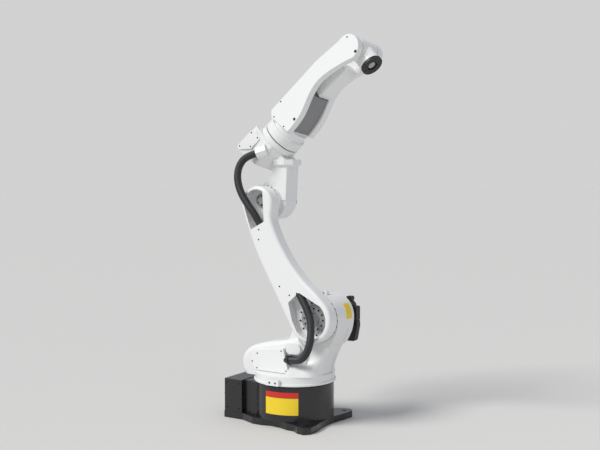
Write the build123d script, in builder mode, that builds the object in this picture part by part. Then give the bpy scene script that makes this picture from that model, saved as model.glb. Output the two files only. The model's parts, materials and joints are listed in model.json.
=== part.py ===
from build123d import *
from math import cos, radians, sin, tan
import os

# Joint layout, in millimetres and degrees
shoulder_reach = 150
shoulder_height = 455
lower_arm_length = 544
lower_arm_lean = 27.84
elbow_rise = 168
elbow_to_collar = 210
collar_to_wrist = 504
forearm_pitch = 42
forearm_roll = 12
wrist_bend = 88
wrist_to_flange = 90

# Clearances
joint_gap = 5
seat_gap = 0.3

# Base
foot_height = 28
bolt_front_x = 155
bolt_front_y = 152
bolt_rear_x = -95
bolt_rear_y = 126
bolt_hole_radius = 9
column_radius = 166
column_top = 172
rear_box_back = 286
rear_box_half_width = 118
rear_box_top = 169
rear_box_length = 92
bridge_half_width = 98
side_panel_length = 50
panel_thickness = 5

# Turret
rim_radius = 174
rim_height = 10
rim_step = 5
disc_height = 28
shoulder_hub_radius = 97
shoulder_near_side = 66
shoulder_far_side = 70
housing_half_width = 85
housing_round = 24
cover_thickness = 26
shoulder_motor_size = 112
shoulder_motor_length = 84

# Lower arm
arm_inner_face = 73
arm_outer_face = 132
arm_hub_radius = 97
arm_head_radius = 76
arm_head_back = 10
arm_head_drop = 11
arm_front_angle = 16
arm_back_angle = 182
head_back_angle = 171
head_front_angle = -34
arm_edge_round = 14
hub_pocket_rim = 19
head_pocket_rim = 15
pocket_depth = 44

# Elbow
elbow_hub_radius = 84
elbow_nose_radius = 64
elbow_half_width = 80
elbow_far_side = 45
elbow_near_side = 66
collar_radius = 86
collar_width = 24
elbow_back = 48
elbow_cover_thickness = 5
elbow_motor_radius = 46
elbow_motor_length = 58

# Forearm, wrist and flange
forearm_base_width = 40
fork_outer = 78
fork_gap = 52
forearm_cover_thickness = 6
tine_end_radius = 56
pin_radius = 30
wrist_radius = 47
barrel_radius = 43
flange_radius = 45
flange_thickness = 10
flange_bolt_circle = 63
flange_hole_radius = 3.3
flange_bore_radius = 21

# Hoses
hose_radius = 16
hose_bore_radius = 18.5
hose_bore_depth = 26


def frame(origin, along, outward):
    return Plane(origin=origin, x_dir=along, z_dir=outward)


def moved(plane, x=0, y=0, z=0):
    return Plane(origin=plane.from_local_coords((x, y, z)), x_dir=plane.x_dir, z_dir=plane.z_dir)


def facing_x(plane, x=0, y=0, z=0):
    """A plane across the local x axis of the given one."""
    return Plane(origin=plane.from_local_coords((x, y, z)), x_dir=plane.y_dir, z_dir=plane.x_dir)


def corner_radii(route):
    """Radii of the arcs that round the corners of a run of straight lengths."""
    radii = []
    for before, corner, after in zip(route, route[1:], route[2:]):
        arrive = corner - before
        leave = after - corner
        half_turn = radians(arrive.get_angle(leave)) / 2
        radii.append(0.45 * min(arrive.length, leave.length) / tan(half_turn))
    return radii


def save(part, name):
    part.label = name
    export_step(part, f"parts/{name}.step")


os.makedirs("parts", exist_ok=True)

# Each arm frame has its local z axis on the side of the row's -Y
near = Vector(0, -1, 0)
lean = radians(lower_arm_lean)
pitch = radians(forearm_pitch)
roll = radians(forearm_roll)
bend = radians(wrist_bend)
shoulder = Vector(shoulder_reach, 0, shoulder_height)
arm_front = Vector(cos(lean), 0, sin(lean))
arm_up = Vector(-sin(lean), 0, cos(lean))
arm_frame = frame(shoulder, arm_front, near)
elbow = shoulder + arm_up * lower_arm_length
forearm_along = Vector(cos(pitch), 0, sin(pitch))
forearm_top = Vector(-sin(pitch), 0, cos(pitch))
elbow_frame = frame(elbow + forearm_top * elbow_rise, forearm_along, near)
fork_near = near * cos(roll) + forearm_top * sin(roll)
fork_frame = frame(elbow_frame.origin, forearm_along, fork_near)
collar = elbow_to_collar
wrist_at = elbow_to_collar + collar_to_wrist
wrist_point = fork_frame.from_local_coords((wrist_at, 0, 0))
flange_along = fork_frame.x_dir * cos(bend) - fork_frame.y_dir * sin(bend)
wrist_frame = frame(wrist_point, flange_along, fork_near)

# Hose routes, from the turret to the lower arm and from the lower arm to the elbow
hose_start = Vector(43, -102, 277)
lower_route = [
    hose_start,
    Vector(84, -117, 280),
    Vector(119, -131, 295),
    Vector(148, -143, 325),
    Vector(167, -152, 365),
    Vector(173, -153, 405),
    arm_frame.from_local_coords((16, 0, 142)),
    arm_frame.from_local_coords((10, 60, 128)),
    arm_frame.from_local_coords((0, 100, 116)),
    arm_frame.from_local_coords((-4, 138, 112)),
]
upper_route = [
    arm_frame.from_local_coords((-44, lower_arm_length - 97 - hose_bore_depth, 104)),
    arm_frame.from_local_coords((-43.5, lower_arm_length - 85, 114)),
    arm_frame.from_local_coords((-36, lower_arm_length - 42, 133)),
    arm_frame.from_local_coords((-38, lower_arm_length + 2, 150)),
    arm_frame.from_local_coords((-42, lower_arm_length + 54, 155)),
    elbow_frame.from_local_coords((-16, -59, 147)),
    elbow_frame.from_local_coords((4, -21, 137)),
    elbow_frame.from_local_coords((33, 4, 126)),
    elbow_frame.from_local_coords((72, 13, 113)),
    elbow_frame.from_local_coords((110, -4, 98)),
]

# Base casting: foot with four ears, round column and the bridge to the rear box
with BuildPart() as base_casting:
    with BuildSketch(Plane.XY):
        with BuildLine():
            half_foot = Polyline(
                (bolt_front_x + 11, 0),
                (bolt_front_x + 13, bolt_front_y - 107),
                (bolt_front_x + 26, bolt_front_y - 37),
                (bolt_front_x + 29, bolt_front_y + 20),
                (bolt_front_x + 8, bolt_front_y + 43),
                (bolt_front_x - 28, bolt_front_y + 35),
                (bolt_front_x - 55, bolt_front_y + 15),
                (bolt_front_x - 92, bolt_front_y + 12),
                (bolt_rear_x + 118, bolt_rear_y + 23),
                (bolt_rear_x + 70, bolt_rear_y + 15),
                (bolt_rear_x + 25, bolt_rear_y + 27),
                (bolt_rear_x - 20, bolt_rear_y + 26),
                (bolt_rear_x - 92, rear_box_half_width + 2),
                (-rear_box_back, rear_box_half_width),
                (-rear_box_back, 0),
            )
            mirror(half_foot, about=Plane.XZ)
        make_face()
        ends = vertices().filter_by(lambda v: abs(v.Y) > 1 and v.X > 1 - rear_box_back)
        fillet(ends, radius=11)
    extrude(amount=foot_height)
    with BuildSketch(Plane.XY.offset(foot_height)):
        Circle(column_radius)
    extrude(amount=column_top - foot_height)
    bridge_back = rear_box_length - rear_box_back
    with BuildSketch(Plane.XY.offset(foot_height)):
        with Locations((bridge_back / 2, 0)):
            Rectangle(-bridge_back, 2 * bridge_half_width)
        with Locations((bridge_back + side_panel_length * 1.5, 0)):
            Rectangle(side_panel_length, 2 * rear_box_half_width)
    extrude(amount=rear_box_top - foot_height - 2)
    with Locations(
        (bolt_front_x, bolt_front_y, foot_height),
        (bolt_front_x, -bolt_front_y, foot_height),
        (bolt_rear_x, bolt_rear_y, foot_height),
        (bolt_rear_x, -bolt_rear_y, foot_height),
    ):
        Hole(bolt_hole_radius, depth=foot_height)

# Rear connector box with its panel, plug sockets and air fitting
with BuildPart() as connector_box:
    with BuildSketch(Plane.XY.offset(foot_height)):
        with Locations((-rear_box_back + rear_box_length / 2, 0)):
            Rectangle(rear_box_length, 2 * rear_box_half_width)
    extrude(amount=rear_box_top - foot_height)
    fillet(connector_box.edges().filter_by(Axis.Z).group_by(Axis.X)[0], radius=5)
    fillet(connector_box.faces().sort_by(Axis.Z)[-1].edges(), radius=3)

panel_middle = (foot_height + rear_box_top) / 2
rear_panel = frame((-rear_box_back, 0, panel_middle), Vector(0, -1, 0), Vector(-1, 0, 0))
with BuildPart() as connector_panel:
    with BuildSketch(rear_panel):
        RectangleRounded(190, 104, radius=5)
    extrude(amount=panel_thickness)

socket_seat = rear_panel.offset(panel_thickness)
sockets = {"power_connector": (-48, 84, 38), "signal_connector": (45, 58, 38)}
socket_parts = {}
for socket_name, (socket_x, socket_length, socket_width) in sockets.items():
    with BuildPart() as socket_part:
        with BuildSketch(moved(socket_seat, x=socket_x)):
            RectangleRounded(socket_length, socket_width, radius=6)
        extrude(amount=14)
        with BuildSketch(moved(socket_seat, x=socket_x, z=14)):
            RectangleRounded(socket_length - 14, socket_width - 12, radius=4)
        extrude(amount=-8, mode=Mode.SUBTRACT)
    socket_parts[socket_name] = socket_part.part

with BuildPart() as air_fitting:
    with BuildSketch(moved(socket_seat, x=83)):
        RegularPolygon(radius=8, side_count=6)
    extrude(amount=8)
    with BuildSketch(moved(socket_seat, x=83, z=8)):
        Circle(5.5)
    extrude(amount=8)

# Bearing ring between the column and the turret
turret_bottom = column_top + joint_gap
with BuildPart() as turning_bearing:
    with BuildSketch(Plane.XY.offset(column_top)):
        Circle(column_radius - 14)
    extrude(amount=joint_gap - seat_gap)

# Outline of the flat side cover where the hose leaves the turret
cover_bottom = turret_bottom + rim_height + disc_height + 4
with BuildSketch() as side_cover_profile:
    Polygon(
        (-131, cover_bottom),
        (38, cover_bottom),
        (11, cover_bottom + 106),
        (-129, cover_bottom + 86),
        (-155, cover_bottom + 38),
        align=None,
    )
    fillet(vertices(), radius=6)

# Turret rim and casting: disc, flared neck, shoulder hub and rear motor housing
with BuildPart() as turret_rim:
    with BuildSketch(Plane.XY.offset(turret_bottom)):
        Circle(rim_radius)
    extrude(amount=rim_height)
    fillet(turret_rim.edges().filter_by(GeomType.CIRCLE), radius=2)

disc_radius = rim_radius - rim_step
disc_bottom = turret_bottom + rim_height
disc_top = disc_bottom + disc_height
neck_top = 342
neck_back = 5
neck_front = 205
neck_width = shoulder_near_side + shoulder_far_side
neck_middle = (shoulder_far_side - shoulder_near_side) / 2
cover_seat = Plane.XZ.offset(housing_half_width)
with BuildPart() as housing_form:
    with BuildSketch(Plane.XZ.offset(-housing_half_width)):
        with BuildLine():
            Polyline((neck_front - 100, disc_bottom + 6), (-203, disc_bottom + 6), (-218, disc_top + 6))
            Spline(
                (-218, disc_top + 6),
                (-220, disc_top + 28),
                (-212, disc_top + 62),
                (-186, disc_top + 90),
                (-146, disc_top + 108),
                (-60, disc_top + 129),
                (neck_back + 55, disc_top + 155),
            )
            Polyline(
                (neck_back + 55, disc_top + 155),
                (neck_front - 100, neck_top - 20),
                (neck_front - 100, disc_bottom + 6),
            )
        make_face()
    extrude(amount=2 * housing_half_width)
    rounded = housing_form.edges().filter_by(GeomType.BSPLINE)
    fillet(rounded, radius=housing_round)

with BuildPart() as turret_casting:
    with BuildSketch(Plane.XY.offset(disc_bottom)):
        Circle(disc_radius)
    extrude(amount=disc_height)
    with BuildSketch(Plane.XY.offset(disc_top)):
        RectangleRounded(2 * disc_radius - 14, 2 * disc_radius - 22, radius=130)
    with BuildSketch(Plane.XY.offset(disc_top + 46)):
        with Locations((disc_radius - 112, neck_middle)):
            RectangleRounded(230, neck_width + 30, radius=50)
    with BuildSketch(Plane.XY.offset(neck_top)):
        with Locations(((neck_back + neck_front) / 2, neck_middle)):
            RectangleRounded(neck_front - neck_back, neck_width, radius=18)
    loft()
    with BuildSketch(Plane.XZ.offset(-shoulder_far_side)):
        with BuildLine():
            Polyline(
                (shoulder_reach - shoulder_hub_radius, shoulder_height),
                (neck_back, neck_top - 4),
                (neck_front, neck_top - 4),
            )
            Spline(
                (neck_front, neck_top - 4),
                (shoulder_reach + 84, shoulder_height - 69),
                (shoulder_reach + shoulder_hub_radius, shoulder_height - 6),
            )
            Line(
                (shoulder_reach + shoulder_hub_radius, shoulder_height - 6),
                (shoulder_reach - shoulder_hub_radius, shoulder_height),
            )
        make_face()
        with Locations((shoulder_reach, shoulder_height)):
            Circle(shoulder_hub_radius)
    extrude(amount=neck_width)
    with BuildSketch(Plane.XZ.offset(-shoulder_far_side + 34)):
        with BuildLine():
            Spline(
                (158, disc_top),
                (166, disc_top + 46),
                (189, disc_top + 92),
                (218, disc_top + 148),
                (240, shoulder_height - 44),
            )
            Polyline(
                (240, shoulder_height - 44),
                (shoulder_reach + 150, shoulder_height - 44),
                (shoulder_reach + 150, disc_top),
                (158, disc_top),
            )
        make_face()
    extrude(amount=26, mode=Mode.SUBTRACT)
    add(housing_form.part)
    with BuildSketch(Plane.XZ.offset(shoulder_near_side - 6)):
        with Locations((54, neck_top - 18)):
            RectangleRounded(70, 44, radius=21)
    extrude(amount=42)
    with BuildSketch(cover_seat):
        add(side_cover_profile.sketch)
        offset(amount=1)
    extrude(amount=2 * cover_thickness + 40, mode=Mode.SUBTRACT)

with BuildPart() as turret_side_cover:
    with BuildSketch(cover_seat):
        add(side_cover_profile.sketch)
    extrude(amount=cover_thickness)
    fillet(turret_side_cover.faces().sort_by(Axis.Y)[0].edges(), radius=3)

with BuildPart() as turret_hose_gland:
    out = (lower_route[1] - lower_route[0]).normalized()
    with BuildSketch(Plane(origin=hose_start - out * 24, z_dir=out)):
        Circle(hose_radius + 3)
    extrude(amount=24)
    add(turret_side_cover.part, mode=Mode.SUBTRACT)
    add(turret_casting.part, mode=Mode.SUBTRACT)

with BuildPart() as stop_block:
    with BuildSketch(Plane.XY.offset(turret_bottom + 3)):
        with Locations((4, -rim_radius)):
            Rectangle(62, 20)
        Circle(rim_radius + seat_gap, mode=Mode.SUBTRACT)
    extrude(amount=25)

with BuildPart() as lifting_lug:
    with BuildSketch(Plane.XZ.offset(10)):
        with Locations((shoulder_reach + 8, shoulder_height + shoulder_hub_radius + 4)):
            SlotOverall(30, 20)
            Circle(5, mode=Mode.SUBTRACT)
    extrude(amount=20)
    with BuildSketch(Plane.XZ.offset(20), mode=Mode.PRIVATE) as hub_round:
        with Locations((shoulder_reach, shoulder_height)):
            Circle(shoulder_hub_radius + seat_gap)
    extrude(hub_round.sketch, amount=20, both=True, mode=Mode.SUBTRACT)

# Shoulder motor on the far side, its plugs, and the bolted ring towards the lower arm
shoulder_far = moved(arm_frame, z=-shoulder_far_side)
far_upright = frame((shoulder_reach, shoulder_far_side, shoulder_height), Vector(1, 0, 0), -near)
with BuildPart() as shoulder_motor:
    with BuildSketch(far_upright):
        RectangleRounded(shoulder_motor_size, shoulder_motor_size, radius=16)
    extrude(amount=shoulder_motor_length)
    with BuildSketch(far_upright.offset(shoulder_motor_length)):
        RectangleRounded(shoulder_motor_size - 14, shoulder_motor_size - 14, radius=20)
    extrude(amount=24)

motor_side = shoulder_motor_size / 2
with BuildPart() as shoulder_power_plug:
    with BuildSketch(moved(far_upright, x=motor_side + 12, y=-2, z=50)):
        RectangleRounded(24, 62, radius=7)
    extrude(amount=34)

with BuildPart() as shoulder_signal_plug:
    with BuildSketch(moved(far_upright, x=motor_side - 17, y=-motor_side - 31, z=58)):
        RectangleRounded(26, 62, radius=7)
    extrude(amount=26)

shoulder_near = moved(arm_frame, z=shoulder_near_side)
with BuildPart() as shoulder_gear_ring:
    with BuildSketch(shoulder_near):
        Circle(arm_hub_radius - 7)
    extrude(amount=arm_inner_face - shoulder_near_side - seat_gap)

# Lower arm outline: hub, head, a full back and a hollow front
head_centre = Vector(-arm_head_back, lower_arm_length - arm_head_drop)


def on_circle(centre, radius, angle):
    return centre + Vector(1, 0).rotate(Axis.Z, angle) * radius


def turning_right(angle):
    """Direction of a clockwise circle at this angle."""
    return Vector(0, -1).rotate(Axis.Z, angle)


hub_centre = Vector(0, 0)
hub_front = on_circle(hub_centre, arm_hub_radius, arm_front_angle)
hub_back = on_circle(hub_centre, arm_hub_radius, arm_back_angle)
head_back = on_circle(head_centre, arm_head_radius, head_back_angle)
head_front = on_circle(head_centre, arm_head_radius, head_front_angle)
back_edge = [
    hub_back,
    hub_back + turning_right(arm_back_angle) * (lower_arm_length - 210),
    head_back - turning_right(head_back_angle) * 105,
    head_back,
]
front_edge = [
    head_front,
    head_front + turning_right(head_front_angle) * 60,
    Vector(12.5, lower_arm_length - 184),
    Vector(20, 252),
    Vector(45, 155),
    hub_front - turning_right(arm_front_angle) * 62,
    hub_front,
]
with BuildSketch() as arm_profile:
    with BuildLine():
        ThreePointArc(hub_front, (0, -arm_hub_radius), hub_back)
        FilletPolyline(*back_edge, radius=corner_radii(back_edge))
        ThreePointArc(head_back, head_centre + Vector(0, arm_head_radius), head_front)
        FilletPolyline(*front_edge, radius=corner_radii(front_edge))
    make_face()

# The two pockets keep one rim width along the outline
with BuildSketch() as lower_region:
    Polygon((-58, 105), (8, 120), (68, 36), (140, -40), (140, -140), (-76, -140), (-76, 30), align=None)
    fillet(vertices(), radius=8)
upper_pocket_start = lower_arm_length - 93
with BuildSketch() as upper_region:
    Polygon(
        (-140, upper_pocket_start),
        (-10, upper_pocket_start),
        (48, lower_arm_length + 34),
        (70, lower_arm_length + 90),
        (-140, lower_arm_length + 90),
        align=None,
    )
    fillet(vertices(), radius=8)

# Lower arm: one curved casting with two pockets on its outer side
pocket_floor = arm_outer_face - pocket_depth
with BuildPart() as lower_arm_casting:
    with BuildSketch(moved(arm_frame, z=arm_inner_face)):
        add(arm_profile.sketch)
    extrude(amount=arm_outer_face - arm_inner_face)
    fillet(lower_arm_casting.faces().sort_by(Axis.Y)[0].edges(), radius=arm_edge_round)
    for region, rim in ((lower_region, hub_pocket_rim), (upper_region, head_pocket_rim)):
        with BuildSketch(moved(arm_frame, z=pocket_floor)):
            add(arm_profile.sketch)
            offset(amount=-rim)
            add(region.sketch, mode=Mode.INTERSECT)
        extrude(amount=pocket_depth + 1, mode=Mode.SUBTRACT)
    for end, inner in ((lower_route[-1], lower_route[-2]), (upper_route[0], upper_route[1])):
        with BuildSketch(Plane(origin=end, z_dir=inner - end)):
            Circle(hose_bore_radius)
        extrude(amount=(inner - end).length + 8, mode=Mode.SUBTRACT)

# Gear faces seen in the two pockets
with BuildPart() as shoulder_gear_face:
    with BuildSketch(moved(arm_frame, z=pocket_floor)):
        Circle(58)
    extrude(amount=7)
    with BuildSketch(moved(arm_frame, z=pocket_floor + 7)):
        Circle(24)
    extrude(amount=6)

head_floor = moved(arm_frame, y=lower_arm_length, z=pocket_floor)
with BuildPart() as elbow_gear_face:
    with BuildSketch(head_floor):
        Circle(arm_head_radius - head_pocket_rim - 33)
    extrude(amount=7)
    with BuildSketch(head_floor.offset(7)):
        Circle(15)
    extrude(amount=6)

# Elbow casting: hub, neck and the housing round the forearm axis
elbow_hub = moved(elbow_frame, y=-elbow_rise)
with BuildPart() as elbow_casting:
    with BuildSketch(moved(elbow_hub, z=-elbow_far_side)):
        Circle(elbow_hub_radius)
    extrude(amount=elbow_far_side + 40)
    with BuildSketch(elbow_hub):
        Circle(elbow_nose_radius)
    extrude(amount=elbow_near_side)
    with BuildSketch(facing_x(elbow_frame, x=elbow_back)):
        Circle(elbow_half_width)
        with Locations((28, 0)):
            RectangleRounded(136, 2 * elbow_half_width, radius=20)
    extrude(amount=collar - joint_gap - collar_width - elbow_back)
    with BuildSketch(moved(elbow_frame, z=-2 * elbow_half_width)):
        Polygon((0, 72), (elbow_back, 72), (60, 20), (68, -30), (90, -84), (90, -150), (0, -150), align=None)
        Polygon((156, 100), (240, 100), (240, 66), align=None)
    extrude(amount=4 * elbow_half_width, mode=Mode.SUBTRACT)
    with BuildSketch(moved(elbow_frame, z=-elbow_far_side)):
        Polygon(
            (20, -elbow_rise + 66),
            (90, -100),
            (100, -60),
            (172, -60),
            (176, -112),
            (64, -elbow_rise - 57),
            (0, -elbow_rise),
            align=None,
        )
    extrude(amount=2 * elbow_far_side)
    with BuildSketch(Plane.XY.offset(elbow.Z - 12)):
        Polygon((-36, -60), (20, -60), (20, -18), align=None)
    extrude(amount=150, mode=Mode.SUBTRACT)

with BuildPart() as elbow_collar:
    with BuildSketch(facing_x(elbow_frame, x=collar - joint_gap - collar_width)):
        Circle(collar_radius)
    extrude(amount=collar_width)
    fillet(elbow_collar.edges().filter_by(GeomType.CIRCLE), radius=3)

with BuildPart() as elbow_side_cover:
    with BuildSketch(moved(elbow_frame, z=elbow_half_width)):
        Polygon((52, 91), (150, 91), (166, 72), (158, 36), (98, 34), (54, 72), align=None)
        fillet(vertices(), radius=7)
    extrude(amount=elbow_cover_thickness)

outlet_out = (upper_route[-2] - upper_route[-1]).normalized()
with BuildPart() as elbow_hose_boss:
    with BuildSketch(Plane(origin=upper_route[-1] - outlet_out * 4, z_dir=-outlet_out)):
        RegularPolygon(radius=27, side_count=8)
    extrude(amount=45)
    add(elbow_casting.part, mode=Mode.SUBTRACT)

with BuildPart() as elbow_hose_gland:
    with BuildSketch(Plane(origin=upper_route[-1] - outlet_out * 4, z_dir=outlet_out)):
        Circle(hose_radius + 5)
    extrude(amount=4)
    add(elbow_casting.part, mode=Mode.SUBTRACT)

elbow_far = frame(elbow + Vector(0, elbow_far_side, 0), Vector(1, 0, 0), -near)
with BuildPart() as elbow_motor:
    with BuildSketch(elbow_far):
        Circle(elbow_motor_radius)
    extrude(amount=elbow_motor_length)

with BuildPart() as elbow_motor_plug:
    with BuildSketch(moved(elbow_far, x=elbow_motor_radius + 21, y=-8)):
        RectangleRounded(16, 54, radius=5)
    extrude(amount=16)

with BuildPart() as elbow_gear_ring:
    with BuildSketch(moved(elbow_hub, z=elbow_near_side)):
        Circle(elbow_nose_radius - 8)
    extrude(amount=arm_inner_face - elbow_near_side - seat_gap)

with BuildPart() as forearm_motor_plug:
    with BuildSketch(moved(elbow_frame, x=150, y=-20, z=-elbow_half_width)):
        RectangleRounded(46, 60, radius=5)
    extrude(amount=-22)

with BuildPart() as elbow_front_lid:
    with BuildSketch(Plane.XY.offset(elbow.Z + 139)):
        with Locations((elbow.X, 0)):
            Polygon((30, -56), (84, -56), (112, -30), (112, 38), (30, 38), align=None)
    extrude(amount=32)
    chamfer(elbow_front_lid.faces().sort_by(Axis.Z)[0].edges().sort_by(Axis.X)[1:], length=10)
    add(elbow_casting.part, mode=Mode.SUBTRACT)
    add(elbow_collar.part, mode=Mode.SUBTRACT)

# Forearm: base ring and a fork with a long channel
with BuildPart() as forearm_bearing:
    with BuildSketch(facing_x(elbow_frame, x=collar - joint_gap)):
        Circle(collar_radius - 9)
    extrude(amount=joint_gap - seat_gap)

with BuildPart() as forearm_base:
    with BuildSketch(facing_x(fork_frame, x=collar)):
        Circle(collar_radius - 1)
    extrude(amount=forearm_base_width)
    fillet(forearm_base.edges().filter_by(GeomType.CIRCLE), radius=3)

fork_root = collar + forearm_base_width
channel_start = fork_root + 40
channel_end = wrist_at - 262


with BuildSketch() as tine_profile:
    with BuildLine():
        Polyline(
            (fork_root + 35, -60),
            (fork_root + 6, 50),
            (fork_root + 24, 76),
            (wrist_at - 150, 72),
            (wrist_at - 20, tine_end_radius - 2),
        )
        ThreePointArc(
            (wrist_at - 20, tine_end_radius - 2),
            (wrist_at + 46, 0),
            (wrist_at - 10, -tine_end_radius + 4),
        )
        Spline(
            (wrist_at - 10, -tine_end_radius + 4),
            (wrist_at - 60, -32),
            (wrist_at - 127, -10),
            (wrist_at - 196, 0),
            (wrist_at - 262, -15),
            (wrist_at - 335, -47),
            (wrist_at - 385, -57),
            (fork_root + 35, -60),
        )
    make_face()

with BuildPart() as forearm_casting:
    with BuildSketch(moved(fork_frame, z=-fork_outer)):
        add(tine_profile.sketch)
    extrude(amount=2 * fork_outer)
    with BuildSketch(facing_x(fork_frame, x=fork_root)):
        Circle(fork_outer - 2)
    extrude(amount=channel_start - fork_root - 4)
    with BuildSketch(moved(fork_frame, z=-fork_gap)):
        Polygon(
            (channel_start, -80),
            (channel_start, 52),
            (wrist_at - 250, 54),
            (wrist_at - 160, 90),
            (wrist_at + 80, 90),
            (wrist_at + 80, -80),
            align=None,
        )
    extrude(amount=2 * fork_gap, mode=Mode.SUBTRACT)
    pin_length = fork_gap - wrist_radius + 1 - seat_gap
    with BuildSketch(moved(wrist_frame, z=fork_gap)):
        Circle(pin_radius)
    extrude(amount=-pin_length)
    with BuildSketch(moved(wrist_frame, z=-fork_gap)):
        Circle(pin_radius)
    extrude(amount=pin_length)

cover_parts = {}
for cover_name, cover_side in {"near_fork_cover": 1, "far_fork_cover": -1}.items():
    with BuildPart() as fork_cover:
        with BuildSketch(moved(fork_frame, z=cover_side * fork_outer)):
            add(tine_profile.sketch)
        extrude(amount=cover_side * forearm_cover_thickness)
    cover_parts[cover_name] = fork_cover.part

with BuildPart() as channel_cover:
    with BuildSketch(moved(fork_frame, z=-fork_gap + seat_gap)):
        Polygon(
            (channel_start + seat_gap, -52),
            (channel_start + 45, -47),
            (channel_end - 73, -38),
            (channel_end - 30, -22),
            (channel_end, -6),
            (channel_end, 50),
            (channel_start + seat_gap, 50),
            align=None,
        )
    extrude(amount=2 * (fork_gap - seat_gap))

with BuildPart() as inner_housing:
    with BuildSketch(moved(fork_frame, z=-fork_gap)):
        Polygon(
            (channel_end + 6, -10),
            (channel_end + 26, -20),
            (wrist_at - 110, -26),
            (wrist_at - 88, -16),
            (wrist_at - 88, 18),
            (channel_end + 6, 18),
            align=None,
        )
    extrude(amount=74)
    fillet(inner_housing.faces().sort_by(Axis.Y)[0].edges().sort_by(Axis.Z)[0:3], radius=12)

# Wrist between the tines, with its barrel, and the tool flange
wrist_half_width = wrist_radius - 1
barrel_end = wrist_to_flange - flange_thickness - 0.5
with BuildPart() as wrist_housing:
    with BuildSketch(moved(wrist_frame, z=-wrist_half_width)):
        Circle(wrist_radius)
    extrude(amount=2 * wrist_half_width)
    with BuildSketch(facing_x(wrist_frame)):
        Circle(barrel_radius)
    extrude(amount=barrel_end)

with BuildPart() as tool_flange:
    with BuildSketch(facing_x(wrist_frame, x=wrist_to_flange - flange_thickness)):
        Circle(flange_radius)
    extrude(amount=flange_thickness)
    with Locations(facing_x(wrist_frame, x=wrist_to_flange)):
        Hole(flange_bore_radius, depth=9)
        with PolarLocations(flange_bolt_circle / 2, 8, start_angle=22.5):
            Hole(flange_hole_radius, depth=10)

with BuildPart() as flange_core:
    with BuildSketch(facing_x(wrist_frame, x=wrist_to_flange - 9)):
        Circle(flange_bore_radius - 6)
    extrude(amount=5)


# Hoses: straight runs with an arc at each corner
def hose(route):
    with BuildPart() as tube:
        with BuildLine() as path:
            FilletPolyline(*route, radius=corner_radii(route))
        with BuildSketch(Plane(origin=route[0], z_dir=route[1] - route[0])):
            Circle(hose_radius)
        sweep(path=path.wire())
    print("radii", [round(radius) for radius in corner_radii(route)])
    print("length", round(path.wire().length), "from volume", round(tube.part.volume / (3.14159265 * hose_radius**2)))
    return tube.part


hoses = {"lower_hose": hose(lower_route), "upper_hose": hose(upper_route)}

pieces = {
    "base_casting": base_casting.part,
    "connector_box": connector_box.part,
    "connector_panel": connector_panel.part,
    "air_fitting": air_fitting.part,
    "turning_bearing": turning_bearing.part,
    "turret_rim": turret_rim.part,
    "turret_casting": turret_casting.part,
    "turret_side_cover": turret_side_cover.part,
    "turret_hose_gland": turret_hose_gland.part,
    "stop_block": stop_block.part,
    "lifting_lug": lifting_lug.part,
    "shoulder_motor": shoulder_motor.part,
    "shoulder_power_plug": shoulder_power_plug.part,
    "shoulder_signal_plug": shoulder_signal_plug.part,
    "shoulder_gear_ring": shoulder_gear_ring.part,
    "lower_arm_casting": lower_arm_casting.part,
    "shoulder_gear_face": shoulder_gear_face.part,
    "elbow_gear_face": elbow_gear_face.part,
    "elbow_casting": elbow_casting.part,
    "elbow_collar": elbow_collar.part,
    "elbow_side_cover": elbow_side_cover.part,
    "elbow_hose_boss": elbow_hose_boss.part,
    "elbow_hose_gland": elbow_hose_gland.part,
    "elbow_motor": elbow_motor.part,
    "elbow_motor_plug": elbow_motor_plug.part,
    "elbow_gear_ring": elbow_gear_ring.part,
    "forearm_motor_plug": forearm_motor_plug.part,
    "elbow_front_lid": elbow_front_lid.part,
    "forearm_bearing": forearm_bearing.part,
    "forearm_base": forearm_base.part,
    "forearm_casting": forearm_casting.part,
    "channel_cover": channel_cover.part,
    "inner_housing": inner_housing.part,
    "wrist_housing": wrist_housing.part,
    "tool_flange": tool_flange.part,
    "flange_core": flange_core.part,
}
for name, part in {**pieces, **socket_parts, **cover_parts, **hoses}.items():
    save(part, name)
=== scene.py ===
import json
from math import cos, pi, radians, sin

import bpy
from mathutils import Matrix, Vector


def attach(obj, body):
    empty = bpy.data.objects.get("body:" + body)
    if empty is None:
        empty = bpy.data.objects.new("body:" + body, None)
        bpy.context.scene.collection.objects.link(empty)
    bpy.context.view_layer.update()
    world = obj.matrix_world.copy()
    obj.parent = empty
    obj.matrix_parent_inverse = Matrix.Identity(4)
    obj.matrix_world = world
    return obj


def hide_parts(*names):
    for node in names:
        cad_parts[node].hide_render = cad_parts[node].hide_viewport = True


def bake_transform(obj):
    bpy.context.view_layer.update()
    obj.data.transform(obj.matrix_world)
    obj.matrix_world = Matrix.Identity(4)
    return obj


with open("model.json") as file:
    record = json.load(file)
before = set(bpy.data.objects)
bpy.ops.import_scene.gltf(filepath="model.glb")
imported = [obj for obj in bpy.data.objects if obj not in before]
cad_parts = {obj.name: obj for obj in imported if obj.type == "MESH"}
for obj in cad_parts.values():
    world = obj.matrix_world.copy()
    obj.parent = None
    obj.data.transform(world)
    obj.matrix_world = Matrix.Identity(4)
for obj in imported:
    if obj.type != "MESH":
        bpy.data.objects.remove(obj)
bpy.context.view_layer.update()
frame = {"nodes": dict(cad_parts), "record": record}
nodes = frame["nodes"]
scene = bpy.context.scene

# Joint layout, the same as in part.py: lengths in millimetres, angles in degrees
MM = 0.001
NEAR = Vector((0, -1, 0))
LOWER_ARM_LENGTH = 544
ROLL_AXIS_RISE = 168
WRIST_REACH = 714
WRIST_TO_FLANGE = 90
shoulder = Vector((150, 0, 455)) * MM
lean, pitch, roll, bend = (radians(v) for v in (27.84, 42, 12, 88))


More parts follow.
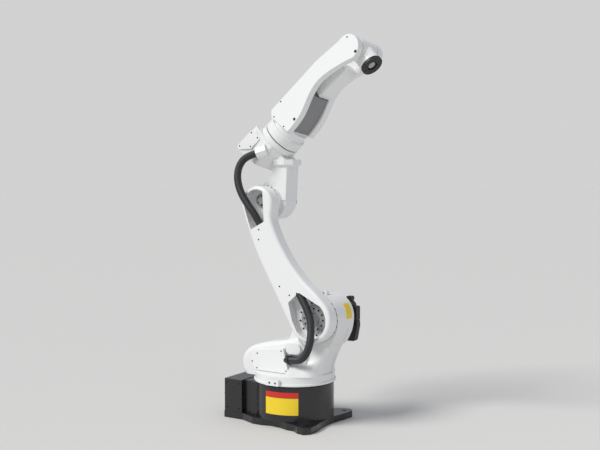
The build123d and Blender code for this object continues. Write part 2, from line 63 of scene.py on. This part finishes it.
class Frame:
    """A local frame: x and y in its plane and z outward, all in millimetres."""

    def __init__(self, origin, x_dir, z_dir):
        self.o = origin
        self.x = x_dir.normalized()
        self.z = z_dir.normalized()
        self.y = self.z.cross(self.x)

    def at(self, x, y, z=0.0):
        return self.o + (self.x * x + self.y * y + self.z * z) * MM


arm = Frame(shoulder, Vector((cos(lean), 0, sin(lean))), NEAR)
elbow_point = arm.at(0, LOWER_ARM_LENGTH)
along = Vector((cos(pitch), 0, sin(pitch)))
top = Vector((-sin(pitch), 0, cos(pitch)))
elbow = Frame(elbow_point + top * (ROLL_AXIS_RISE * MM), along, NEAR)
fork_near = NEAR * cos(roll) + top * sin(roll)
fork = Frame(elbow.o, along, fork_near)
wrist_point = fork.at(WRIST_REACH, 0)
flange_dir = fork.x * cos(bend) - fork.y * sin(bend)
wrist = Frame(wrist_point, flange_dir, fork_near)


# Camera, fitted to the outline of the arm in the photo
FOCAL_PX = 998
PHOTO_WIDTH_PX = 600
SENSOR_MM = 36


def look_at(obj, target):
    obj.rotation_euler = (Vector(target) - obj.location).to_track_quat("-Z", "Y").to_euler()


camera_data = bpy.data.cameras.new("camera")
camera = bpy.data.objects.new("camera", camera_data)
scene.collection.objects.link(camera)
camera_data.sensor_width = SENSOR_MM
camera_data.lens = FOCAL_PX / PHOTO_WIDTH_PX * SENSOR_MM
camera_data.clip_end = 60
camera.location = (2.24578, -3.55247, 1.0713)
look_at(camera, (0.018, 0.01138, 0.8312))
scene.camera = camera


# Materials
COAT_ROUGHNESS = 0.2
GRAIN_DEPTH = 0.6 * MM
MOTTLE_FROM, MOTTLE_TO = 0.35, 0.65


def material(
    name, colour, roughness=0.5, metallic=0.0, coat=0.0, grain=0.0, scale=60.0, mottle=0.0
):
    """A paint or metal: grain is the bump's strength, mottle the spread of the roughness."""
    mat = bpy.data.materials.new(name)
    mat.use_nodes = True
    tree = mat.node_tree
    shader = tree.nodes["Principled BSDF"]
    shader.inputs["Base Color"].default_value = (*colour, 1)
    shader.inputs["Roughness"].default_value = roughness
    shader.inputs["Metallic"].default_value = metallic
    shader.inputs["Coat Weight"].default_value = coat
    shader.inputs["Coat Roughness"].default_value = COAT_ROUGHNESS
    if grain or mottle:
        coordinates = tree.nodes.new("ShaderNodeTexCoord")
        noise = tree.nodes.new("ShaderNodeTexNoise")
        noise.inputs["Scale"].default_value = scale
        noise.inputs["Detail"].default_value = 4
        tree.links.new(coordinates.outputs["Object"], noise.inputs["Vector"])
        if grain:
            bump = tree.nodes.new("ShaderNodeBump")
            bump.inputs["Strength"].default_value = grain
            bump.inputs["Distance"].default_value = GRAIN_DEPTH
            tree.links.new(noise.outputs["Fac"], bump.inputs["Height"])
            tree.links.new(bump.outputs["Normal"], shader.inputs["Normal"])
        if mottle:
            ramp = tree.nodes.new("ShaderNodeMapRange")
            ramp.inputs["From Min"].default_value = MOTTLE_FROM
            ramp.inputs["From Max"].default_value = MOTTLE_TO
            ramp.inputs["To Min"].default_value = roughness - mottle
            ramp.inputs["To Max"].default_value = roughness + mottle
            tree.links.new(noise.outputs["Fac"], ramp.inputs["Value"])
            tree.links.new(ramp.outputs["Result"], shader.inputs["Roughness"])
    return mat


white = material(
    "white_satin", (0.8, 0.802, 0.8), 0.36, coat=0.15, grain=0.18, scale=320, mottle=0.04
)
white_cover = material(
    "white_cover", (0.82, 0.822, 0.82), 0.32, coat=0.15, grain=0.1, scale=300, mottle=0.03
)
black = material(
    "black_satin", (0.009, 0.009, 0.01), 0.28, coat=0.3, grain=0.12, scale=260, mottle=0.06
)
grey = material(
    "cast_grey", (0.13, 0.13, 0.135), 0.55, 0.4, grain=0.3, scale=240, mottle=0.08
)
gear_grey = material(
    "gear_grey", (0.36, 0.36, 0.365), 0.5, 0.3, grain=0.2, scale=240, mottle=0.06
)
channel_grey = material(
    "channel_grey", (0.23, 0.23, 0.235), 0.5, grain=0.15, scale=240, mottle=0.05
)
machined = material(
    "machined_steel", (0.42, 0.42, 0.43), 0.36, 0.9, grain=0.1, scale=200, mottle=0.06
)
dark_metal = material(
    "dark_metal", (0.02, 0.02, 0.022), 0.48, 0.2, grain=0.2, scale=260, mottle=0.06
)
bolt_black = material("bolt_black", (0.018, 0.018, 0.02), 0.35, 0.5)
plastic = material("black_plastic", (0.016, 0.016, 0.017), 0.5, grain=0.15, scale=400)
rubber = material("hose_grey", (0.022, 0.023, 0.025), 0.42, grain=0.2, scale=400)
brass = material("brass", (0.55, 0.38, 0.14), 0.35, 0.9)
yellow = material("yellow_panel", (0.86, 0.62, 0.02), 0.4)
red = material("red_panel", (0.62, 0.02, 0.015), 0.4)

looks = {
    "white_paint": white, "black_paint": black, "grey_casting": grey, "black_metal": dark_metal,
    "bare_steel": machined, "black_plastic": plastic, "brass": brass, "dark_rubber": rubber,
}


def dress(names, mat):
    """Give the named nodes one material."""
    for name in names:
        for spot in nodes[name].material_slots:
            spot.material = mat


for row in frame["record"]["subparts"]:
    dress([row["node"]], looks[row["material_slot"]])
dress(["turret_hose_gland", "elbow_hose_gland"], rubber)
dress(["shoulder_gear_face", "elbow_gear_face"], gear_grey)
dress(["channel_cover"], channel_grey)
dress(["near_fork_cover", "far_fork_cover", "turret_side_cover", "elbow_side_cover"], white_cover)


# Pieces
def keep(obj, body, mat):
    """Link a piece and say which body it rides and which slot it belongs to."""
    scene.collection.objects.link(obj)
    if mat:
        obj.data.materials.append(mat)
    if body:
        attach(obj, body)
    return obj


def mesh_piece(name, verts, faces, body, mat, smooth=False):
    mesh = bpy.data.meshes.new(name)
    mesh.from_pydata([tuple(v) for v in verts], [], faces)
    mesh.validate()
    if smooth:
        mesh.shade_smooth()
    return keep(bpy.data.objects.new(name, mesh), body, mat)


def tube_faces(rings, sides):
    """Faces between rings of vertices, with a face over each end."""
    faces = []
    for ring in range(rings - 1):
        for k in range(sides):
            a, b = ring * sides + k, ring * sides + (k + 1) % sides
            faces.append((a, b, b + sides, a + sides))
    faces.append(tuple(range(sides))[::-1])
    faces.append(tuple((rings - 1) * sides + k for k in range(sides)))
    return faces


SCREW_SIDES = 18
screw_meshes = {}


def screw_head(radius, height):
    """Vertices and faces of a socket screw's head with its recess, from sizes in millimetres."""
    rim = radius * 0.12
    profile = [
        (radius, 0), (radius, height - rim), (radius - rim, height), (radius * 0.52, height),
        (radius * 0.5, height * 0.45),
    ]
    verts = []
    for r, z in profile:
        for k in range(SCREW_SIDES):
            a = 2 * pi * k / SCREW_SIDES
            verts.append((r * cos(a) * MM, r * sin(a) * MM, z * MM))
    return verts, tube_faces(len(profile), SCREW_SIDES)


def screws(name, body, spots, normal, radius, height, mat=bolt_black):
    """Screw heads at the given points, all facing along normal. Like heads share a mesh."""
    key = (radius, height, mat.name)
    if key not in screw_meshes:
        mesh = bpy.data.meshes.new(f"screw_{radius}_{height}_{mat.name}")
        verts, faces = screw_head(radius, height)
        mesh.from_pydata(verts, [], faces)
        mesh.materials.append(mat)
        screw_meshes[key] = mesh
    turn = normal.to_track_quat("Z", "Y").to_matrix().to_4x4()
    for index, spot in enumerate(spots):
        obj = bpy.data.objects.new(f"{name}_{index + 1}", screw_meshes[key])
        obj.matrix_world = Matrix.Translation(spot) @ turn
        keep(obj, body, None)


def ring_spots(local, radius, count, z, start=0.0, y=0.0):
    """Points evenly round a circle at height z, centred at (0, y) of the local frame."""
    angles = (start + 2 * pi * k / count for k in range(count))
    return [local.at(radius * cos(a), y + radius * sin(a), z) for a in angles]


# Hoses: a ribbed tube along each route
HOSE_RADIUS = 0.016
HOSE_SIDES = 20
RIB_PITCH = 6.0
RIB_DEPTH = 0.0016
RIB_WAVE = (0.0, 0.35, 0.95, 1.0, 0.95, 0.35)


def route_points(name, points):
    """Points along a smooth NURBS line through the route's control points."""
    curve = bpy.data.curves.new(name, "CURVE")
    curve.dimensions = "3D"
    spline = curve.splines.new("NURBS")
    spline.points.add(len(points) - 1)
    for point, place in zip(spline.points, points):
        point.co = (*place, 1)
    spline.order_u = 3
    spline.use_endpoint_u = True
    spline.resolution_u = 40
    holder = bpy.data.objects.new(name, curve)
    scene.collection.objects.link(holder)
    bpy.context.view_layer.update()
    shown = holder.evaluated_get(bpy.context.evaluated_depsgraph_get())
    made = bpy.data.meshes.new_from_object(shown)
    line = [v.co.copy() for v in made.vertices]
    bpy.data.objects.remove(holder)
    return line


def even(line, step):
    """The same line at even distances."""
    result, carried = [line[0]], 0.0
    for a, b in zip(line, line[1:]):
        length = (b - a).length
        distance = step - carried
        while distance <= length:
            result.append(a.lerp(b, distance / length))
            distance += step
        carried = (carried + length) % step
    return result


def hose(name, node, points, radius):
    """A ribbed hose along the route, which takes the node's place."""
    line = route_points(name + "_route", points)
    path = even(line, RIB_PITCH * MM / len(RIB_WAVE))
    verts = []
    side = (path[1] - path[0]).orthogonal().normalized()
    for index, place in enumerate(path):
        ahead = path[min(index + 1, len(path) - 1)] - path[max(index - 1, 0)]
        ahead.normalize()
        side = (side - ahead * side.dot(ahead)).normalized()
        other = ahead.cross(side)
        r = radius - RIB_DEPTH * (1 - RIB_WAVE[index % len(RIB_WAVE)])
        angles = (2 * pi * k / HOSE_SIDES for k in range(HOSE_SIDES))
        verts += [place + (side * cos(a) + other * sin(a)) * r for a in angles]
    faces = tube_faces(len(path), HOSE_SIDES)
    tube = mesh_piece(name, verts, faces, None, rubber, smooth=True)
    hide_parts(node)
    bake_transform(tube)


# The control points are those of the hoses in part.py
lower_route = [
    Vector((43, -102, 277)) * MM,
    Vector((84, -117, 280)) * MM,
    Vector((119, -131, 295)) * MM,
    Vector((148, -143, 325)) * MM,
    Vector((167, -152, 365)) * MM,
    Vector((173, -153, 405)) * MM,
    arm.at(16, 0, 142),
    arm.at(10, 60, 128),
    arm.at(0, 100, 116),
    arm.at(-4, 138, 112),
]
upper_route = [
    arm.at(-44, 421, 104),
    arm.at(-43.5, 459, 114),
    arm.at(-36, 502, 133),
    arm.at(-38, 546, 150),
    arm.at(-42, 598, 155),
    elbow.at(-16, -59, 147),
    elbow.at(4, -21, 137),
    elbow.at(33, 4, 126),
    elbow.at(72, 13, 113),
    elbow.at(110, -4, 98),
]
hose("lower_hose_ribbed", "lower_hose", lower_route, HOSE_RADIUS)
hose("upper_hose_ribbed", "upper_hose", upper_route, HOSE_RADIUS)

# Base: screws of the connector box
box_screws = [Vector((x, -118, z)) * MM for x in (-272, -207) for z in (45, 152)]
screws("box_screw", "base", box_screws, NEAR, 3.2, 2)
rear_screws = [Vector((-291, y, z)) * MM for y in (-87, 87) for z in (53, 144)]
screws("rear_screw", "base", rear_screws, Vector((-1, 0, 0)), 3.5, 2.5)


# Plain panels and connectors
PANEL_THICKNESS = 0.8
PANEL_STEPS = 24


def wrapped_panel(name, local, radius, low_angle, high_angle, low, high, body, mat):
    """A thin panel round the local z axis, with its angles in degrees from the x axis."""
    verts, faces = [], []
    for r in (radius, radius + PANEL_THICKNESS):
        for z in (low, high):
            for k in range(PANEL_STEPS + 1):
                a = radians(low_angle + (high_angle - low_angle) * k / PANEL_STEPS)
                verts.append(local.at(r * cos(a), r * sin(a), z))
    n = PANEL_STEPS + 1
    for k in range(PANEL_STEPS):
        faces.append((2 * n + k, 2 * n + k + 1, 3 * n + k + 1, 3 * n + k))
        faces.append((n + k, n + k + 1, k + 1, k))
        faces.append((k, k + 1, 2 * n + k + 1, 2 * n + k))
        faces.append((3 * n + k, 3 * n + k + 1, n + k + 1, n + k))
    faces.append((0, 2 * n, 3 * n, n))
    faces.append((2 * n - 1, 4 * n - 1, 3 * n - 1, n - 1))
    mesh_piece(name, verts, faces, body, mat)


def prism(name, local, outline, low, high, body, mat):
    """A straight piece with the given outline, which runs counter-clockwise."""
    n = len(outline)
    verts = [local.at(x, y, z) for z in (low, high) for x, y in outline]
    faces = [tuple(range(n))[::-1], tuple(range(n, 2 * n))]
    faces += [(k, (k + 1) % n, n + (k + 1) % n, n + k) for k in range(n)]
    return mesh_piece(name, verts, faces, body, mat)


# Base: the coloured panels, 0.05 mm off the column
COLUMN_PANEL_RADIUS = 166.05
column = Frame(Vector((0, 0, 0)), Vector((1, 0, 0)), Vector((0, 0, 1)))
for name, low, high, mat in (("yellow_panel", 58, 128, yellow), ("red_panel", 130, 152, red)):
    wrapped_panel(
        name, column, COLUMN_PANEL_RADIUS, -104, -53, low, high, "base", mat
    )

# Turret: screws, the bolts in the shoulder's gap and the panel 0.05 mm off the hub
HUB_PANEL_RADIUS = 97.05
stop_screws = [Vector((x, -184, 192)) * MM for x in (-8, 20)]
screws("stop_screw", "turret", stop_screws, NEAR, 3.5, 2.5)
cover_spots = ((-120, 230), (-118, 292), (26, 230), (2, 312), (-144, 256))
cover_screws = [Vector((x, -111, z)) * MM for x, z in cover_spots]
screws("cover_screw", "turret", cover_screws, NEAR, 2.8, 1.6)
screws("gap_bolt", "turret", ring_spots(arm, 93, 24, 66), NEAR, 3.8, 6, dark_metal)
hub = Frame(shoulder, Vector((1, 0, 0)), NEAR)
wrapped_panel(
    "hub_panel", hub, HUB_PANEL_RADIUS, -3, 36, -50, -8, "turret", yellow
)

# Connectors on the shoulder motor: a low one on top and one under its corner. The local y axis of
# this frame points down.
MOTOR_START = 70
motor_frame = Frame(shoulder + Vector((0, MOTOR_START * MM, 0)), Vector((1, 0, 0)), -NEAR)
low_cap = [(26, -56.2), (26, -69), (30, -73), (48, -73), (52, -69), (52, -56.2)]
top_connector = prism(
    "top_connector", motor_frame, low_cap, 58, 84, "turret", plastic
)
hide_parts("shoulder_signal_plug")
corner = [
    (28, 56.2), (56.2, 56.2), (56.2, 29.2), (79, 29.2), (80, 52), (68, 112), (62, 117),
    (31, 117), (28, 114),
]
prism("corner_connector", motor_frame, corner, 57, 86, "turret", plastic)

# Lower arm: bolts of the gear faces and screws on the near face
screws("gear_bolt", "lower_arm", ring_spots(arm, 44, 12, 95), NEAR, 3.6, 3)
screws("gear_rim_bolt", "lower_arm", ring_spots(arm, 67, 12, 88, start=0.2), NEAR, 3.6, 4)
screws("head_bolt", "lower_arm", ring_spots(arm, 21, 6, 95, y=LOWER_ARM_LENGTH), NEAR, 2.8, 3)
arm_screws = [arm.at(x, y, 132) for x, y in ((-48, 433), (-68, 397), (-65, 181), (-38, 129))]
screws("arm_screw", "lower_arm", arm_screws, NEAR, 3, 1.6)

# Elbow: screws of the covered box and the bolts in the elbow's gap
box_cover_screws = [elbow.at(x, y, 85) for x, y in ((64, 82), (146, 83), (154, 46), (104, 43))]
screws("elbow_cover_screw", "elbow", box_cover_screws, NEAR, 2.8, 1.6)
elbow_gap = Frame(elbow_point, along, NEAR)
screws("elbow_gap_bolt", "elbow", ring_spots(elbow_gap, 60, 20, 66), NEAR, 3, 5.5, dark_metal)

# Forearm: screws of the near cover
fork_screws = [fork.at(x, y, 84) for x, y in ((283, -29), (268, 42), (332, 69), (731, 36))]
screws("fork_screw", "forearm", fork_screws, fork.z, 3, 1.6)
large_screws = [fork.at(x, y, 84) for x, y in ((342, -44), (725, -42))]
screws("large_fork_screw", "forearm", large_screws, fork.z, 6, 2)

# Flange: the bolt circle, sunk into the face
face = Frame(wrist.at(WRIST_TO_FLANGE, 0), wrist.y, wrist.x)
flange_screws = ring_spots(face, 31.5, 8, -1.5, start=pi / 8)
screws("flange_screw", "flange", flange_screws, face.z, 2.8, 1.5)

# Floor, just under the foot so that the two don't share a plane
FLOOR_HALF = 50
FLOOR_DROP = 0.0005
floor_mesh = bpy.data.meshes.new("floor")
square = ((-1, -1), (1, -1), (1, 1), (-1, 1))
floor_corners = [(x * FLOOR_HALF, y * FLOOR_HALF, 0) for x, y in square]
floor_mesh.from_pydata(floor_corners, [], [(0, 1, 2, 3)])
floor = bpy.data.objects.new("floor", floor_mesh)
scene.collection.objects.link(floor)
floor.location.z = -FLOOR_DROP
floor.data.materials.append(material("floor_pale", (0.68, 0.671, 0.652), 0.9))

# Backdrop: the camera sees an even grey that meets the floor's, and the light is the world's own
world = bpy.data.worlds.new("world")
scene.world = world
world.use_nodes = True
tree = world.node_tree
background = tree.nodes["Background"]
background.inputs["Color"].default_value = (0.9, 0.93, 1.0, 1)
background.inputs["Strength"].default_value = 0.46
output = tree.nodes["World Output"]
seen = tree.nodes.new("ShaderNodeBackground")
seen.inputs["Color"].default_value = (0.641, 0.641, 0.639, 1)
seen.inputs["Strength"].default_value = 1.0
mix = tree.nodes.new("ShaderNodeMixShader")
ray = tree.nodes.new("ShaderNodeLightPath")
tree.links.new(ray.outputs["Is Camera Ray"], mix.inputs["Fac"])
tree.links.new(background.outputs["Background"], mix.inputs[1])
tree.links.new(seen.outputs["Background"], mix.inputs[2])
tree.links.new(mix.outputs["Shader"], output.inputs["Surface"])


# Lights
def light(name, kind, place, target, power, colour):
    data = bpy.data.lights.new(name, kind)
    data.energy = power
    data.color = colour
    obj = bpy.data.objects.new(name, data)
    scene.collection.objects.link(obj)
    obj.location = place
    look_at(obj, target)
    return data


key = light("key", "SUN", (-1.6, -3.2, 4.2), (0, 0, 0.5), 2.35, (1.0, 0.99, 0.97))
key.angle = radians(24)
fill = light("fill", "AREA", (3.4, -2.2, 1.9), (0, 0, 0.9), 16, (0.96, 0.98, 1.0))
fill.shape = "RECTANGLE"
fill.size = fill.size_y = 2.2

scene.view_settings.view_transform = "Standard"
